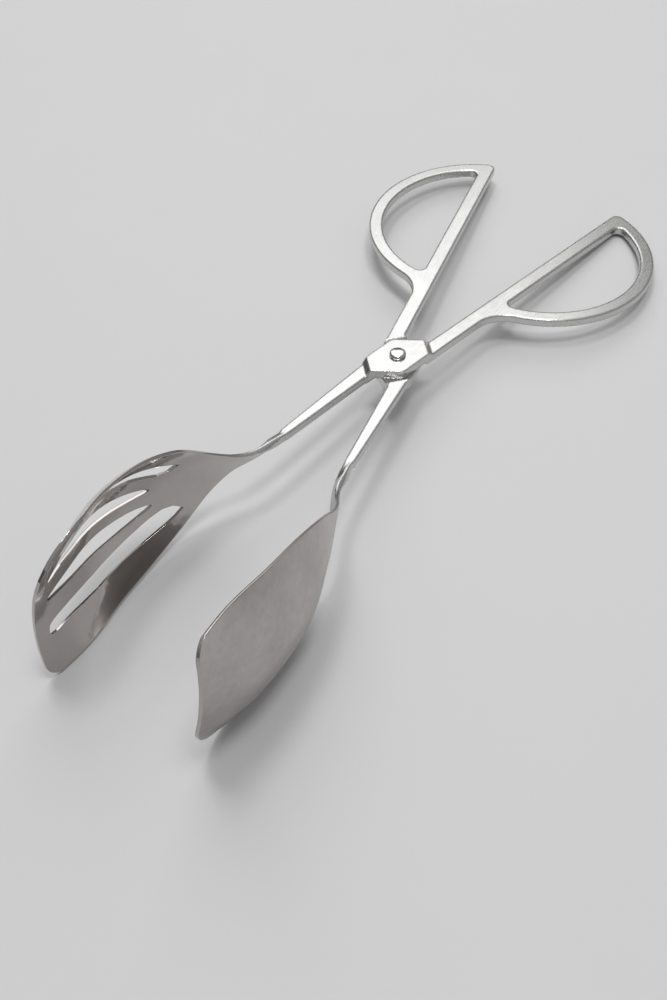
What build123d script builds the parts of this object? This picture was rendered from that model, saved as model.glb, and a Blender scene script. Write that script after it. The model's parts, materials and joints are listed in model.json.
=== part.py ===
"""Scissor serving tongs: two crossed one-piece steel arms turning on a rivet.

An arm is drawn in its own flat frame: the pivot at the origin, the handle towards +X, the head towards -X
and the thickness along Z. The lower arm is drawn the same way, with a shallower scoop and no slots, and
turned over about X. Both are then swung open about the pivot and the whole tool is tipped so that it lies
on a table at z = 0.
"""
import math
import os

from build123d import *

# --- how the tool lies ---
HALF_OPENING = 11.2       # each arm's angle from the closing line, degrees
TABLE_TILT = 5.27         # the heads are deeper than the handles, so the bars slope down to the handles, degrees

# --- bars and handle loop ---
BAR_T = 3.0               # thickness of the bars, the loop and the boss
LOOP_EDGE = 0.6           # rounding along the handle's edges
HANDLE_INNER_Y = -1.6     # straight edge that faces the other handle
HANDLE_OUTER_Y = -6.8     # other edge of the handle bar
DROOP_X = 14.0            # from here on the handle slopes away from the boss
HANDLE_DROOP = 0.0185     # slope of the handle
BOW_CENTRE = (79.5, 4.1)  # centre of the loop's round outline
BOW_R = 40.0              # outer radius of the loop
BOW_BAND = 4.7            # width of the loop's round band
NOTCH_R = 12.0            # hollow between the handle bar and the loop
TIP_R = 2.6               # rounded far end of the handle
HOLE_R = 2.3              # rounded corners inside the loop

# --- head-side bar, tapering from the boss to the neck ---
NECK_X = -48.0
NECK_INNER_Y = 0.57
NECK_OUTER_Y = 3.73
ROOT_X = -8.0
ROOT_INNER_Y = 1.28
ROOT_OUTER_Y = 6.64
NECK_EDGE = 0.75          # rounding along this bar's edges
FOOT_INNER_X = -13.4      # where the foot of the step meets the bar's inner edge
FOOT_OUTER_X = -9.35      # and its outer edge

# --- boss and its steps ---
BOSS_HALF = 6.8           # pivot to the hexagon's long sides
BOSS_END_X = 12.2         # where a free slanted side comes down to the handle bar
BOSS_NECK_X = 11.9        # and where the other one comes down to the neck bar
BAR_MEETS_X = -5.8        # where the neck bar's outer edge runs into a long side
BOSS_FREE_X = 4.6         # corner where a long side meets a free slanted side
BOSS_FREE_R = 2.8         # rounding of that corner
BOSS_EDGE = 0.35          # rounding around the top of the boss
STEP_ANGLE = -37.3        # direction square to the step lines, degrees
STEP_TOP = 9.77           # pivot to the upper edge of each step
STEP_RUN = 1.6            # plan width of each step
STEP_RISE = BAR_T / 2     # the boss is lifted by half the bar
UNDER_SHIFT = 1.25        # the underside of each step lies this much nearer the pivot
BOSS_GAP = 0.05           # half of the gap between the two bosses

# --- rivet ---
RIVET_R = 2.0
RIVET_HEAD_R = 2.6
RIVET_HEAD_H = 1.45
RIVET_DOME = 0.6
TURNING_FIT = 0.05        # radial gap in the slotted arm's hole
FIXED_FIT = 0.02          # radial gap in the solid arm's hole

# --- head: one blade that twists upright at the neck and opens into a scoop ---
LIP_X = -140.6            # the scoop's lip at its corners
LIP_BOW = 1.76            # how far the middle of the lip stands out
LIP_SLANT = 0.044         # slope of the lip across the scoop
LIP_CORNER_R = {1: 19.5, -1: 5.8}    # rounding of the lip's corners on the +Z and -Z sides
CORNER_STEPS = 8          # sections of the lip cutter around each corner
LIP_STEPS = 5             # and along the line between the corners
RIM_CLEAR = 0.15          # the lip cutter starts this far outside each rim
CUT_REACH = 5.0           # cutters reach this far each side of the sheet
CUT_AWAY = 17.0           # and the lip cutter this far beyond the lip
STATION_STEP = 4.7        # spacing of the sections that the blade is skinned over
FACE_POINTS = 7           # points across each broad face of a section
RIM_POINTS = 7            # points around each rim of a section
RIM_POWER = 2 / 3         # squareness of the rims
# x, half height, y of the line between the rims, turn about X in degrees, depth of the hollow,
# thickness, depth of the rims' rounding
NECK = [
    (-48.0, 1.58, 2.15, 0.0, 0.02, 3.0, 0.75),
    (-54.0, 1.35, 2.18, -31.0, 0.02, 2.6, 0.70),
    (-60.0, 1.65, 2.40, -65.0, 0.15, 1.9, 0.55),
    (-66.0, 3.20, 4.20, -74.0, 0.30, 1.4, 0.45),
]
SLOTTED_SCOOP = [
    (-75.0, 8.90, 6.60, -83.5, 1.20, 1.1, 0.36),
    (-85.0, 16.4, 7.20, -85.5, 4.20, 1.0, 0.34),
    (-98.0, 21.0, 6.30, -87.7, 8.20, 1.0, 0.34),
    (-112.0, 23.2, 3.60, -87.7, 9.80, 1.0, 0.34),
    (-127.0, 25.4, -1.50, -84.7, 8.20, 1.0, 0.34),
    (-145.0, 27.6, -6.40, -78.0, 4.00, 1.0, 0.34),
]
SOLID_SCOOP = [
    (-75.0, 8.90, 6.40, -84.0, 0.80, 1.1, 0.36),
    (-85.0, 16.6, 6.95, -86.0, 2.30, 1.0, 0.34),
    (-98.0, 21.3, 5.60, -87.5, 5.60, 1.0, 0.34),
    (-112.0, 24.2, 3.20, -87.0, 6.80, 1.0, 0.34),
    (-127.0, 25.6, -1.50, -84.7, 8.20, 1.0, 0.34),
    (-145.0, 27.6, -6.40, -78.0, 4.00, 1.0, 0.34),
]

# --- slots, in pairs: x, arc distances of a slot's two edges from the pair's middle line, and where
# that line lies ---
OUTER_SLOTS = [
    (-83.0, 9.0, 9.4, -1.5),
    (-87.3, 6.7, 11.7, -1.6),
    (-98.0, 9.9, 15.0, -1.0),
    (-108.0, 11.7, 16.2, -0.8),
    (-116.0, 12.4, 17.1, -0.4),
    (-128.0, 11.6, 16.3, 0.7),
    (-137.6, 10.6, 15.6, 0.9),
]
MIDDLE_SLOTS = [
    (-91.6, 2.6, 3.6, -2.4),
    (-97.5, 2.0, 5.5, -2.1),
    (-105.0, 2.0, 7.0, -1.5),
    (-112.0, 2.05, 7.55, -0.8),
    (-120.0, 2.25, 7.55, 0.5),
    (-128.0, 2.65, 6.8, 2.0),
    (-136.4, 2.4, 4.4, 2.9),
]
SLOT_END_R = 1.6          # the slots' ends are rounded over this length
SLOT_STEPS = 14           # sections of a slot cutter
SLOT_MIN = 0.05           # half width of a slot cutter's first and last section


def between(table, column, x):
    """Smooth value of one column of a table whose rows run towards -X."""
    xs = [row[0] for row in table]
    vs = [row[column] for row in table]
    last = len(xs) - 1
    i = 0
    while i < last - 1 and x < xs[i + 1]:
        i += 1

    def slope(k):
        a = max(k - 1, 0)
        b = min(k + 1, last)
        return (vs[b] - vs[a]) / (xs[b] - xs[a])

    h = xs[i + 1] - xs[i]
    t = (x - xs[i]) / h
    start = vs[i] * (1 + 2 * t) * (1 - t) ** 2 + slope(i) * h * t * (1 - t) ** 2
    end = vs[i + 1] * t * t * (3 - 2 * t) + slope(i + 1) * h * t * t * (t - 1)
    return start + end


def blade_arc(blade, x):
    """Radius of the blade's arched section at x, and the arc length from its middle to a rim."""
    chord = between(blade, 1, x)
    depth = between(blade, 4, x)
    radius = (chord * chord + depth * depth) / (2 * depth)
    return radius, radius * math.asin(chord / radius)


def blade_point(blade, x, s, off):
    """Point of the blade's section at x: s along the arc from its middle, off outwards from mid-sheet."""
    radius, _ = blade_arc(blade, x)
    turn = math.radians(between(blade, 3, x))
    across = (radius + off) * math.sin(s / radius)
    out = (radius + off) * math.cos(s / radius) - radius + between(blade, 4, x)
    y = between(blade, 2, x) - across * math.cos(turn) - out * math.sin(turn)
    z = -across * math.sin(turn) + out * math.cos(turn)
    return (x, y, z)


def blade_rim(blade, x, side):
    """Rounded rim of the blade's section at x, on the upper (+1) or lower (-1) side."""
    _, reach = blade_arc(blade, x)
    half_t = between(blade, 5, x) / 2
    round_in = between(blade, 6, x)
    points = []
    for i in range(RIM_POINTS):
        angle = math.pi * (i / (RIM_POINTS - 1) - 0.5)
        bulge = round_in * max(math.cos(angle), 0) ** RIM_POWER
        off = half_t * math.copysign(abs(math.sin(angle)) ** RIM_POWER, math.sin(angle))
        points.append(blade_point(blade, x, side * (reach - round_in + bulge), -side * off))
    return points


def blade_face(blade, x, side):
    """Points across one broad face of the blade's section at x: outer (+1) or hollow (-1)."""
    _, reach = blade_arc(blade, x)
    half_t = between(blade, 5, x) / 2
    flat = reach - between(blade, 6, x)
    steps = [2 * i / (FACE_POINTS - 1) - 1 for i in range(FACE_POINTS)]
    return [blade_point(blade, x, side * k * flat, side * half_t) for k in steps]


def blade_section(blade, x):
    """Arched section of the blade: hollow face, lower rim, outer face, upper rim."""
    hollow = Spline(*blade_face(blade, x, -1))
    low_rim = Spline(*blade_rim(blade, x, -1))
    outer = Spline(*blade_face(blade, x, 1))
    top_rim = Spline(*blade_rim(blade, x, 1))
    return make_face([hollow, low_rim, outer, top_rim])


def lip_place(blade, side, inset, run):
    """X and arc distance of a lip point inset from the rim on one side and run back towards the neck."""
    _, full = blade_arc(blade, LIP_X)
    x = LIP_X
    for _ in range(4):
        s = side * (blade_arc(blade, x)[1] - inset)
        x = LIP_X - LIP_BOW * (1 - (s / full) ** 2) + LIP_SLANT * s + run
    return x, s


def lip_corner(blade, side):
    """Points around one corner of the lip, rim first, each with the angle at which the lip faces."""
    radius = LIP_CORNER_R[side]
    points = []
    for i in range(CORNER_STEPS + 1):
        turn = math.pi / 2 * i / CORNER_STEPS
        inset = radius * (1 - math.cos(turn)) - RIM_CLEAR
        points.append((*lip_place(blade, side, inset, radius * (1 - math.sin(turn))), side * (math.pi / 2 - turn)))
    return points


def lip_line(blade):
    """Points along the whole lip from the +Z rim to the -Z rim."""
    first = lip_corner(blade, 1)
    last = lip_corner(blade, -1)[::-1]
    start = first[-1][1]
    end = last[0][1]
    middle = []
    for i in range(1, LIP_STEPS):
        s = start + (end - start) * i / LIP_STEPS
        x, s = lip_place(blade, 1, blade_arc(blade, LIP_X)[1] - s, 0)
        middle.append((x, s, 0))
    return first + middle + last


def lip_cutter(blade):
    """Solid that cuts the blade off along the lip, square to the sheet."""
    sections = []
    for x, s, facing in lip_line(blade):
        inner = Vector(*blade_point(blade, x, s, -CUT_REACH))
        outer = Vector(*blade_point(blade, x, s, CUT_REACH))
        here = Vector(*blade_point(blade, x, s, 0))
        near = Vector(*blade_point(blade, x - 0.1 * math.cos(facing), s + 0.1 * math.sin(facing), 0))
        away = (near - here).normalized() * CUT_AWAY
        sections.append(make_face(Polyline(inner, outer, outer + away, inner + away, close=True)))
    return loft(sections, ruled=True)


def slot_edges(table, side, x):
    """Arc distances of one slot's two edges at x, its ends rounded; side is +1 or -1."""
    middle = between(table, 3, x)
    centre = (between(table, 1, x) + between(table, 2, x)) / 2
    half = (between(table, 2, x) - between(table, 1, x)) / 2
    inset = min(table[0][0] - x, x - table[-1][0])
    if inset < SLOT_END_R:
        half *= math.sqrt(max(1 - (1 - inset / SLOT_END_R) ** 2, 0))
    half = max(half, SLOT_MIN)
    return middle + side * (centre - half), middle + side * (centre + half)


def slot_cutter(blade, table, side):
    """Solid that cuts one slot of a pair through the scoop."""
    start = table[0][0]
    end = table[-1][0]
    sections = []
    for i in range(SLOT_STEPS + 1):
        x = start + (end - start) * (1 - math.cos(math.pi * i / SLOT_STEPS)) / 2
        near, far = slot_edges(table, side, x)
        corners = [
            blade_point(blade, x, near, -CUT_REACH),
            blade_point(blade, x, far, -CUT_REACH),
            blade_point(blade, x, far, CUT_REACH),
            blade_point(blade, x, near, CUT_REACH),
        ]
        sections.append(make_face(Polyline(*corners, close=True)))
    return loft(sections, ruled=True)


def head(slotted):
    """Twisted neck and hollow scoop, with or without the four slots."""
    blade = NECK + (SLOTTED_SCOOP if slotted else SOLID_SCOOP)
    start = blade[0][0]
    end = blade[-1][0]
    count = round((start - end) / STATION_STEP)
    stations = [start + (end - start) * i / count for i in range(count + 1)]
    body = loft([blade_section(blade, x) for x in stations]) - lip_cutter(blade)
    if slotted:
        for table in (OUTER_SLOTS, MIDDLE_SLOTS):
            for side in (1, -1):
                body -= slot_cutter(blade, table, side)
    return body


def loop_outline():
    """Handle bar and D-shaped loop in plan, with the finger hole cut out."""
    x, y = BOW_CENTRE
    disc = Pos(x, y) * Circle(BOW_R)
    below = Pos(x, HANDLE_INNER_Y - BOW_R) * Rectangle(3 * BOW_R, 2 * BOW_R)
    width = HANDLE_INNER_Y - HANDLE_OUTER_Y
    mid_y = (HANDLE_INNER_Y + HANDLE_OUTER_Y) / 2
    bar = Pos(x / 2, mid_y) * Rectangle(x, width)
    outline = (disc & below) + bar
    notch_x = x - math.sqrt(BOW_R ** 2 - (y - HANDLE_OUTER_Y) ** 2)
    tip_x = x + math.sqrt(BOW_R ** 2 - (y - HANDLE_INNER_Y) ** 2)
    outline = fillet(nearest_corner(outline, notch_x, HANDLE_OUTER_Y), NOTCH_R)
    outline = fillet(nearest_corner(outline, tip_x, HANDLE_INNER_Y), TIP_R)
    hole_r = BOW_R - BOW_BAND
    hole_disc = Pos(x, y) * Circle(hole_r)
    hole_below = Pos(x, HANDLE_OUTER_Y - BOW_R) * Rectangle(3 * BOW_R, 2 * BOW_R)
    hole = hole_disc & hole_below
    hole = fillet(hole.vertices(), HOLE_R)
    return outline - hole


def nearest_corner(shape, x, y):
    """Vertex of a flat shape nearest to (x, y)."""
    return min(shape.vertices(), key=lambda v: math.hypot(v.X - x, v.Y - y))


def boss_outline():
    """Long hexagon around the pivot, drawn out to the bar's edges beyond the steps."""
    outline = make_face(Polyline(
        (FOOT_INNER_X, bar_edge(FOOT_INNER_X, -1)),
        (FOOT_OUTER_X, bar_edge(FOOT_OUTER_X, 1)),
        (BAR_MEETS_X, BOSS_HALF),
        (BOSS_FREE_X, BOSS_HALF),
        (BOSS_END_X, HANDLE_INNER_Y),
        (BOSS_END_X, HANDLE_OUTER_Y),
        (-BOSS_FREE_X, HANDLE_OUTER_Y),
        (-BOSS_NECK_X, bar_edge(-BOSS_NECK_X, -1)),
        close=True,
    ))
    free = [
        nearest_corner(outline, BOSS_FREE_X, BOSS_HALF),
        nearest_corner(outline, -BOSS_FREE_X, -BOSS_HALF),
    ]
    return fillet(free, BOSS_FREE_R)


def boss_slab():
    """Slab with the raised middle, its profile drawn square to the step lines."""
    top = BAR_T / 2
    far = 100.0
    under = STEP_TOP - UNDER_SHIFT
    half = [
        (far, top),
        (STEP_TOP + STEP_RUN, top),
        (STEP_TOP, top + STEP_RISE),
    ]
    lower = [
        (under, BOSS_GAP),
        (under + STEP_RUN, -top),
        (far, -top),
    ]
    over = [(-x, z) for x, z in half] + half[::-1]
    below = lower[::-1] + [(-x, z) for x, z in lower]
    profile = make_face(Polyline(*over, *below, close=True))
    slab = Rot(0, 0, STEP_ANGLE) * extrude(Plane.XZ * profile, far, both=True)
    near_boss = Pos(DROOP_X - far, 0, 0) * Box(2 * far, 2 * far, 2 * far)
    return slab & near_boss


def handle_slab():
    """Slab that slopes gently downwards along the handle."""
    top = BAR_T / 2
    far = 100.0
    reach = 2 * BOW_R + BOW_CENTRE[0]
    fall = HANDLE_DROOP * (reach - DROOP_X)
    profile = Polyline(
        (DROOP_X, top),
        (reach, top - fall),
        (reach, -top - fall),
        (DROOP_X, -top),
        close=True,
    )
    return extrude(Plane.XZ * make_face(profile), far, both=True)


def crosswise(edge):
    """True for an edge that does not run along the thickness."""
    return abs(edge.tangent_at(0.5).Z) < 0.05


def bar_edge(x, side):
    """Y of the neck bar's outer (+1) or inner (-1) edge at x."""
    part_way = (x - NECK_X) / (ROOT_X - NECK_X)
    if side > 0:
        return NECK_OUTER_Y + part_way * (ROOT_OUTER_Y - NECK_OUTER_Y)
    return NECK_INNER_Y + part_way * (ROOT_INNER_Y - NECK_INNER_Y)


def neck_bar():
    """Tapering bar with rounded edges between the boss and the neck."""
    sections = []
    for x in (ROOT_X, NECK_X):
        outer = bar_edge(x, 1)
        inner = bar_edge(x, -1)
        plane = Plane(origin=(x, (outer + inner) / 2, 0), x_dir=(0, 1, 0), z_dir=(1, 0, 0))
        sections.append(plane * RectangleRounded(outer - inner, BAR_T, NECK_EDGE))
    return loft(sections, ruled=True) & boss_slab()


def flat_part():
    """Boss, handle bar and handle loop as one bent plate with rounded handle edges."""
    plan = loop_outline() + boss_outline()
    prism = extrude(plan, 8, both=True)
    plate = prism & (boss_slab() + handle_slab())
    edges = plate.edges().filter_by(crosswise)
    loop_edges = [e for e in edges if e.bounding_box().min.X > DROOP_X - 0.1 and e.bounding_box().size.X > 0.1]
    plate = fillet(loop_edges, LOOP_EDGE)
    return fillet(plate.edges().group_by(Axis.Z)[-1], BOSS_EDGE)


def arm(slotted, fit):
    """One whole arm in its own frame."""
    body = flat_part() + neck_bar() + head(slotted)
    return body - Cylinder(RIVET_R + fit, 20)


def rivet():
    """Headed pin along Z, a low domed head at each end."""
    top = BAR_T / 2 + STEP_RISE
    shank = Cylinder(RIVET_R, 2 * top + RIVET_HEAD_H)
    body = shank
    for side in (1, -1):
        button = Cylinder(RIVET_HEAD_R, RIVET_HEAD_H)
        button = Pos(0, 0, side * (top + RIVET_HEAD_H / 2)) * button
        body += button
    ends = body.edges().filter_by(GeomType.CIRCLE).group_by(Axis.Z)
    body = fillet(ends[0] + ends[-1], RIVET_DOME)
    return body


def swing(shape, angle):
    """Turn a shape about the pivot, then tip it with the whole tool."""
    return Rot(0, TABLE_TILT, 0) * (Rot(0, 0, angle) * shape)


def build():
    """All pieces, resting on z = 0 with the origin under the middle of the whole tool."""
    slotted_arm = arm(True, TURNING_FIT)
    solid_arm = Rot(180, 0, 0) * arm(False, FIXED_FIT)
    parts = {
        "slotted_arm": swing(slotted_arm, -HALF_OPENING),
        "solid_arm": swing(solid_arm, HALF_OPENING),
        "rivet": swing(rivet(), 0),
    }
    boxes = [part.bounding_box() for part in parts.values()]
    low = [min(getattr(box.min, axis) for box in boxes) for axis in "XYZ"]
    high = [max(getattr(box.max, axis) for box in boxes) for axis in "XYZ"]
    pivot = (-(low[0] + high[0]) / 2, -(low[1] + high[1]) / 2, -low[2])
    print("pivot at", [round(v, 3) for v in pivot])
    return {name: Pos(*pivot) * part for name, part in parts.items()}


os.makedirs("parts", exist_ok=True)
for name, part in build().items():
    export_step(part, os.path.join("parts", name + ".step"))
    size = part.bounding_box().size
    print(name, [round(v, 2) for v in (size.X, size.Y, size.Z)], round(part.volume, 1))
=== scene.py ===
"""Scissor serving tongs in satin stainless steel, lying on a pale table under soft studio light."""
import json
import math

import bmesh
import bpy
from mathutils import Euler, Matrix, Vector


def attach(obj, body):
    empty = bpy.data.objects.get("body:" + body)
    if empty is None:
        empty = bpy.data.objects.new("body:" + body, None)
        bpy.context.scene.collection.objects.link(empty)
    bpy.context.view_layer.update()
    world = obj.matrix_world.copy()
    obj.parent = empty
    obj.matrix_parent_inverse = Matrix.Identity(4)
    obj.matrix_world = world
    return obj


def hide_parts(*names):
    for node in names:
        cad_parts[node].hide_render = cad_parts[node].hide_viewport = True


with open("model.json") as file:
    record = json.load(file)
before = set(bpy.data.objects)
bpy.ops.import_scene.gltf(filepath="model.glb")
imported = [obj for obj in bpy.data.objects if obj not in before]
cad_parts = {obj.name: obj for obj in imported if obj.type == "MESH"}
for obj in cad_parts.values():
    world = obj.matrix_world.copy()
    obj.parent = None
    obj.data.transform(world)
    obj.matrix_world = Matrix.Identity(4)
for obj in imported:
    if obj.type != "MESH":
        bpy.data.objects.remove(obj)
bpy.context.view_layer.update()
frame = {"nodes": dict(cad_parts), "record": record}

# --- camera ---
CAMERA_PLACE = (-0.22368, -0.14061, 0.28431)
CAMERA_TURN = (39.078, 2.691, -57.692)     # XYZ Euler angles, degrees
LENS_MM = 43.43
SENSOR_MM = 36.0                           # on the picture's longer side
NEAR_CLIP = 0.01

# --- steel ---
# one steel, painted in two tones: the bars lighter as painted light for their lit tops, the scoops
# darker as painted shade for the shaded table they reflect
BAR_STEEL_WITH_PAINTED_LIGHT = (0.6, 0.595, 0.585)
HEAD_STEEL_WITH_PAINTED_SHADE = (0.5, 0.475, 0.46)
RIVET_STEEL = (0.6, 0.59, 0.58)
SLOTTED_FINISH = {"bar_roughness": 0.26, "head_roughness": 0.1, "clouding": 0.06}
SOLID_FINISH = {"bar_roughness": 0.26, "head_roughness": 0.32, "clouding": 0.16}
RIVET_FINISH = {"bar_roughness": 0.16, "head_roughness": 0.16, "clouding": 0.05}
SWING = 11.2                               # each arm's angle from the long axis, degrees
HEAD_STARTS_X = -0.045                     # the bars' finish fades out from here
HEAD_FULL_X = -0.06                        # to here

# --- stains: soft patches with fine specks in them ---
PATCHES = {"scale": (70, 70, 70), "detail": 5.0, "roughness": 0.6}
SPECKS = {"scale": (420, 420, 420), "detail": 3.0, "roughness": 0.6}
PATCH_SHARE = 0.65
SPECK_SHARE = 0.35
STAIN_RANGE = (0.38, 0.6)                  # fully stained below, clean above
BAR_CLOUDING = 0.03                        # how much a stain darkens the bars
DULLING_RANGE = (0.35, 0.65)
DULLING = 0.03                             # roughness added by a stain, and taken off clean steel

# --- brushing along each arm ---
BRUSHING = {"scale": (70, 2800, 2800), "detail": 3.0, "roughness": 0.6}
STREAK_RANGE = (0.3, 0.7)
STREAKS = 0.05                             # roughness up or down in a streak
HEAD_STREAKS = 0.2                         # share of it left on the scoops
BRUSHING_BUMP = 0.03
BRUSHING_DEPTH = 0.00002
HEAD_BRUSHING = 0.05                       # share of the bump left on the scoops

# --- rounded edges, metres ---
BAR_EDGE = 0.0009
HEAD_EDGE = 0.0003
EDGE_SAMPLES = 6

# --- rivet pin, metres from the pivot along its axis ---
RIVET_HEAD_R = 0.0026
RIVET_SHANK_R = 0.002
RIVET_SEAT = 0.003                         # underside of the head
RIVET_TOP = 0.0042                         # edge of the crown
RIVET_CROWN = 0.0002
RIVET_ROUND = 0.0006
RIVET_SIDES = 64
RIVET_STEPS = 6

# --- table ---
TABLE_SIZE = 12.0
TABLE_COLOUR = (0.66, 0.655, 0.66)
TABLE_SHADE = 0.98                         # of that colour, in its darkest patches
TABLE_GRAIN = (25, 25, 25)
TABLE_ROUGHNESS = 0.65

# --- light ---
SKY_FAR = (0.03, 0.03, 0.028)              # low sky on the +Y side
SKY_NEAR = (0.27, 0.26, 0.25)              # low sky on the -Y side
SKY_HIGH = (0.4, 0.405, 0.41)              # overhead
SKY_TURN = (0.2, -0.2)                     # Y of the direction, from far to near
SKY_RISE = (0.1, 0.7)                      # Z of the direction, from low to high
KEY_PLACE = (1.0, 0.72, 1.3)
KEY_SIZE = (1.3, 1.3)
KEY_POWER = 8.5
LAMPS = [((0.0, -0.32, 1.6), 6.5), ((0.15, 0.3, 1.6), 5.5)]     # smaller boxes: place, power
LAMP_SIZE = (0.35, 0.35)
LIT_POINT = (0, 0, 0)


def new_material(name):
    """Empty node material with its output and a Principled shader."""
    mat = bpy.data.materials.new(name)
    mat.use_nodes = True
    tree = mat.node_tree
    tree.nodes.clear()
    out = tree.nodes.new("ShaderNodeOutputMaterial")
    shader = tree.nodes.new("ShaderNodeBsdfPrincipled")
    tree.links.new(shader.outputs["BSDF"], out.inputs["Surface"])
    return mat, tree, shader


def scaled_coordinates(tree, scale, turn):
    """Object coordinates turned about Z, in degrees, then multiplied by a scale vector."""
    coord = tree.nodes.new("ShaderNodeTexCoord")
    swing = tree.nodes.new("ShaderNodeMapping")
    swing.inputs["Rotation"].default_value = (0, 0, math.radians(turn))
    mapping = tree.nodes.new("ShaderNodeMapping")
    mapping.inputs["Scale"].default_value = scale
    tree.links.new(coord.outputs["Object"], swing.inputs["Vector"])
    tree.links.new(swing.outputs["Vector"], mapping.inputs["Vector"])
    return mapping.outputs["Vector"]


def noise(tree, scale, detail=3.0, roughness=0.5, turn=0.0):
    """Noise stretched by the scale vector; the value output."""
    node = tree.nodes.new("ShaderNodeTexNoise")
    node.inputs["Scale"].default_value = 1.0
    node.inputs["Detail"].default_value = detail
    node.inputs["Roughness"].default_value = roughness
    tree.links.new(scaled_coordinates(tree, scale, turn), node.inputs["Vector"])
    return node.outputs["Fac"]


def remap(tree, value, low, high, out_low, out_high):
    """Value mapped linearly from one range to another."""
    node = tree.nodes.new("ShaderNodeMapRange")
    node.inputs["From Min"].default_value = low
    node.inputs["From Max"].default_value = high
    node.inputs["To Min"].default_value = out_low
    node.inputs["To Max"].default_value = out_high
    tree.links.new(value, node.inputs["Value"])
    return node.outputs["Result"]


def math_node(tree, operation, first, second):
    """Result of a two-input maths node; either input may be a number or a socket."""
    node = tree.nodes.new("ShaderNodeMath")
    node.operation = operation
    for socket, value in zip(node.inputs, (first, second)):
        if isinstance(value, (int, float)):
            socket.default_value = value
        else:
            tree.links.new(value, socket)
    return node.outputs[0]


def mixed_colours(tree, first, second, factor):
    """Colour between two others; each may be a plain colour or a socket."""
    mix = tree.nodes.new("ShaderNodeMix")
    mix.data_type = "RGBA"
    for name, value in (("A", first), ("B", second)):
        if isinstance(value, tuple):
            mix.inputs[name].default_value = (*value, 1)
        else:
            tree.links.new(value, mix.inputs[name])
    tree.links.new(factor, mix.inputs["Factor"])
    return mix.outputs["Result"]


def in_head(tree):
    """0 on the bars and loops, rising to 1 on the scoops."""
    coord = tree.nodes.new("ShaderNodeTexCoord")
    split = tree.nodes.new("ShaderNodeSeparateXYZ")
    tree.links.new(coord.outputs["Object"], split.inputs["Vector"])
    return remap(tree, split.outputs["X"], HEAD_STARTS_X, HEAD_FULL_X, 0, 1)


def darkened(colour, amount):
    """Colour made darker by a fraction."""
    return tuple((1 - amount) * c for c in colour)


def stains(tree):
    """Soft patches with fine specks in them; low where the steel is stained."""
    coarse = math_node(tree, "MULTIPLY", noise(tree, **PATCHES), PATCH_SHARE)
    fine = math_node(tree, "MULTIPLY", noise(tree, **SPECKS), SPECK_SHARE)
    return math_node(tree, "ADD", coarse, fine)


def steel_colour(tree, head, blotch, bar_colour, head_colour, clouding):
    """Metal with painted light on the bars and painted shade on the scoops, darker where it is
    stained.
    """
    # bar colour with painted light fading into scoop colour with painted shade
    clean = mixed_colours(tree, bar_colour, head_colour, head)
    dark_bar = darkened(bar_colour, BAR_CLOUDING)
    stained = mixed_colours(tree, dark_bar, darkened(head_colour, clouding), head)
    return mixed_colours(tree, stained, clean, remap(tree, blotch, *STAIN_RANGE, 0, 1))


def steel_roughness(tree, head, blotch, brushing, bar_roughness, head_roughness):
    """Each finish, duller in the stains and uneven along the brushing."""
    finish = remap(tree, head, 0, 1, bar_roughness, head_roughness)
    finish = math_node(tree, "ADD", finish, remap(tree, blotch, *DULLING_RANGE, DULLING, -DULLING))
    streaks = remap(tree, brushing, *STREAK_RANGE, -STREAKS, STREAKS)
    streaks = math_node(tree, "MULTIPLY", streaks, remap(tree, head, 0, 1, 1, HEAD_STREAKS))
    return math_node(tree, "ADD", finish, streaks)


def steel_normal(tree, head, brushing):
    """Rounded edges with the brushing's fine ridges on top."""
    edge = tree.nodes.new("ShaderNodeBevel")
    edge.samples = EDGE_SAMPLES
    tree.links.new(remap(tree, head, 0, 1, BAR_EDGE, HEAD_EDGE), edge.inputs["Radius"])
    bump = tree.nodes.new("ShaderNodeBump")
    bump.inputs["Strength"].default_value = BRUSHING_BUMP
    bump.inputs["Distance"].default_value = BRUSHING_DEPTH
    height = math_node(tree, "MULTIPLY", brushing, remap(tree, head, 0, 1, 1, HEAD_BRUSHING))
    tree.links.new(height, bump.inputs["Height"])
    tree.links.new(edge.outputs["Normal"], bump.inputs["Normal"])
    return bump.outputs["Normal"]


def steel(name, bar_colour, head_colour, turn, bar_roughness, head_roughness, clouding):
    """Brushed steel along the bars, barely brushed and faintly clouded on the scoop; the bars carry
    painted light and the scoop painted shade.
    """
    mat, tree, shader = new_material(name)
    shader.inputs["Metallic"].default_value = 1.0
    head = in_head(tree)
    blotch = stains(tree)
    brushing = noise(tree, turn=turn, **BRUSHING)
    colour = steel_colour(tree, head, blotch, bar_colour, head_colour, clouding)
    finish = steel_roughness(tree, head, blotch, brushing, bar_roughness, head_roughness)
    tree.links.new(colour, shader.inputs["Base Color"])
    tree.links.new(finish, shader.inputs["Roughness"])
    tree.links.new(steel_normal(tree, head, brushing), shader.inputs["Normal"])
    return mat


def dress(node, mat):
    """Give a CAD node its material."""
    for slot in frame["nodes"][node].material_slots:
        slot.material = mat


def rivet_profile():
    """Half profile of the pin, radius and height, from the middle of its top down to its shank."""
    points = []
    flat = RIVET_HEAD_R - RIVET_ROUND
    for i in range(RIVET_STEPS + 1):
        part_way = i / RIVET_STEPS
        points.append((flat * part_way, RIVET_TOP + RIVET_CROWN - RIVET_CROWN * part_way ** 2))
    for i in range(1, RIVET_STEPS + 1):
        turn = math.pi / 2 * i / RIVET_STEPS
        radius = RIVET_HEAD_R - RIVET_ROUND * (1 - math.sin(turn))
        points.append((radius, RIVET_TOP - RIVET_ROUND * (1 - math.cos(turn))))
    points.append((RIVET_HEAD_R, RIVET_SEAT))
    points.append((RIVET_SHANK_R, RIVET_SEAT))
    return points


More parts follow.
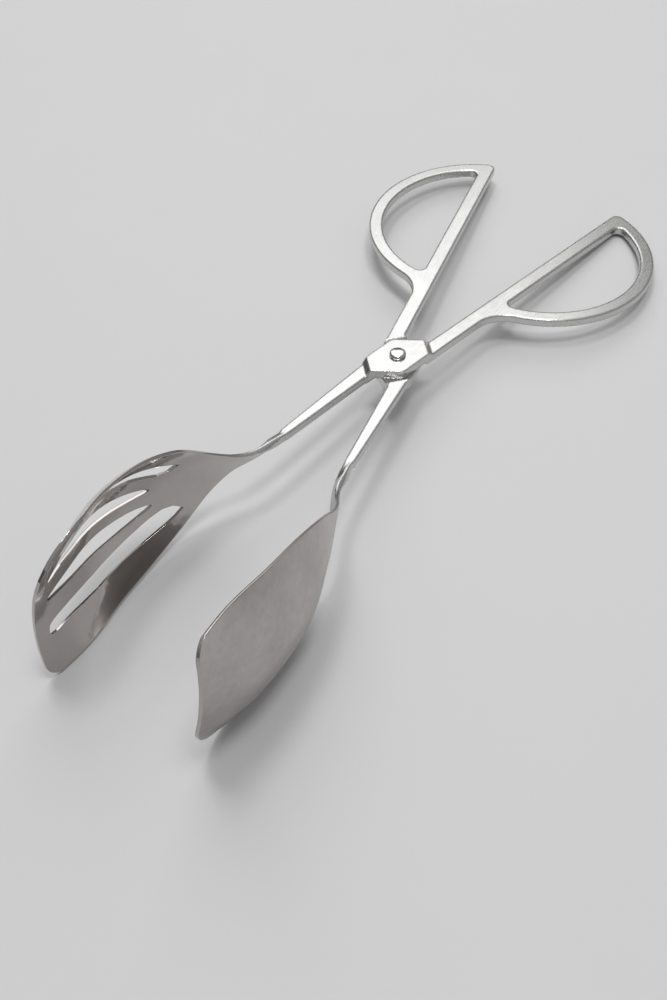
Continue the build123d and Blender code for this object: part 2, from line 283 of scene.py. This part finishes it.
def profile_ring(mesh, radius, height):
    """Vertices of one circle of the pin, or its middle point where the radius is zero."""
    if radius == 0:
        return [mesh.verts.new((0, 0, height))]
    ring = []
    for i in range(RIVET_SIDES):
        angle = 2 * math.pi * i / RIVET_SIDES
        ring.append(mesh.verts.new((radius * math.cos(angle), radius * math.sin(angle), height)))
    return ring


def rivet_pin(mat):
    """Headed pin on the pivot's axis, turned as one closed surface."""
    half = rivet_profile()
    profile = half + [(radius, -height) for radius, height in half[::-1]]
    mesh = bmesh.new()
    rings = [profile_ring(mesh, radius, height) for radius, height in profile]
    for upper, lower in zip(rings, rings[1:]):
        for i in range(RIVET_SIDES):
            j = i + 1
            corners = [
                upper[i % len(upper)],
                lower[i % len(lower)],
                lower[j % len(lower)],
                upper[j % len(upper)],
            ]
            mesh.faces.new(list(dict.fromkeys(corners)))
    bmesh.ops.recalc_face_normals(mesh, faces=mesh.faces)
    data = bpy.data.meshes.new("rivet_pin")
    mesh.to_mesh(data)
    mesh.free()
    for face in data.polygons:
        face.use_smooth = True
    data.materials.append(mat)
    pin = bpy.data.objects.new("rivet_pin", data)
    hinge = frame["record"]["behaviour"]["joints"][0]
    pin.location = hinge["pos_m"]
    pin.rotation_euler = Vector(hinge["axis"]).to_track_quat("Z", "Y").to_euler()
    bpy.context.scene.collection.objects.link(pin)
    return pin


def table():
    """Wide pale table top."""
    bpy.ops.mesh.primitive_plane_add(size=TABLE_SIZE, location=(0, 0, 0))
    top = bpy.context.object
    top.name = "table_top"
    mat, tree, shader = new_material("table_paper")
    shade = tuple(TABLE_SHADE * c for c in TABLE_COLOUR)
    tint = mixed_colours(tree, TABLE_COLOUR, shade, noise(tree, TABLE_GRAIN))
    tree.links.new(tint, shader.inputs["Base Color"])
    shader.inputs["Roughness"].default_value = TABLE_ROUGHNESS
    top.data.materials.append(mat)


def area_light(name, place, size, power):
    """White softbox aimed at the middle of the tool."""
    data = bpy.data.lights.new(name, "AREA")
    data.shape = "RECTANGLE"
    data.size, data.size_y = size
    data.energy = power
    lamp = bpy.data.objects.new(name, data)
    lamp.location = place
    aim = Vector(LIT_POINT) - Vector(place)
    lamp.rotation_euler = aim.to_track_quat("-Z", "Y").to_euler()
    bpy.context.scene.collection.objects.link(lamp)


def sky():
    """Plain sky, brighter overhead and darker low on the far side."""
    world = bpy.data.worlds.new("studio")
    world.use_nodes = True
    tree = world.node_tree
    coord = tree.nodes.new("ShaderNodeTexCoord")
    split = tree.nodes.new("ShaderNodeSeparateXYZ")
    tree.links.new(coord.outputs["Generated"], split.inputs["Vector"])
    nearness = remap(tree, split.outputs["Y"], *SKY_TURN, 0, 1)
    height = remap(tree, split.outputs["Z"], *SKY_RISE, 0, 1)
    low = mixed_colours(tree, SKY_FAR, SKY_NEAR, nearness)
    colour = mixed_colours(tree, low, SKY_HIGH, height)
    tree.links.new(colour, tree.nodes["Background"].inputs["Color"])
    bpy.context.scene.world = world


def light():
    """The sky, a large softbox behind the tool and a small one to each side."""
    sky()
    area_light("key", KEY_PLACE, KEY_SIZE, KEY_POWER)
    for i, (place, power) in enumerate(LAMPS):
        area_light(f"lamp_{i}", place, LAMP_SIZE, power)


def camera():
    """Camera above the scoops' end, looking down along the tool."""
    data = bpy.data.cameras.new("camera")
    data.lens = LENS_MM
    data.sensor_width = SENSOR_MM
    data.clip_start = NEAR_CLIP
    cam = bpy.data.objects.new("camera", data)
    cam.location = CAMERA_PLACE
    cam.rotation_euler = Euler([math.radians(a) for a in CAMERA_TURN], "XYZ")
    bpy.context.scene.collection.objects.link(cam)
    bpy.context.scene.camera = cam


def view_transform():
    """Plain display transform."""
    scene = bpy.context.scene
    scene.view_settings.view_transform = "Standard"
    scene.view_settings.look = "None"


slotted_steel = steel("slotted_arm_steel", BAR_STEEL_WITH_PAINTED_LIGHT, HEAD_STEEL_WITH_PAINTED_SHADE, SWING, **SLOTTED_FINISH)
solid_steel = steel("solid_arm_steel", BAR_STEEL_WITH_PAINTED_LIGHT, HEAD_STEEL_WITH_PAINTED_SHADE, -SWING, **SOLID_FINISH)
rivet_steel = steel("rivet_steel", RIVET_STEEL, RIVET_STEEL, 0, **RIVET_FINISH)
dress("slotted_arm", slotted_steel)
dress("solid_arm", solid_steel)
dress("rivet", rivet_steel)
pin = rivet_pin(rivet_steel)
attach(pin, "lower_arm")
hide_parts("rivet")
table()
light()
camera()
view_transform()
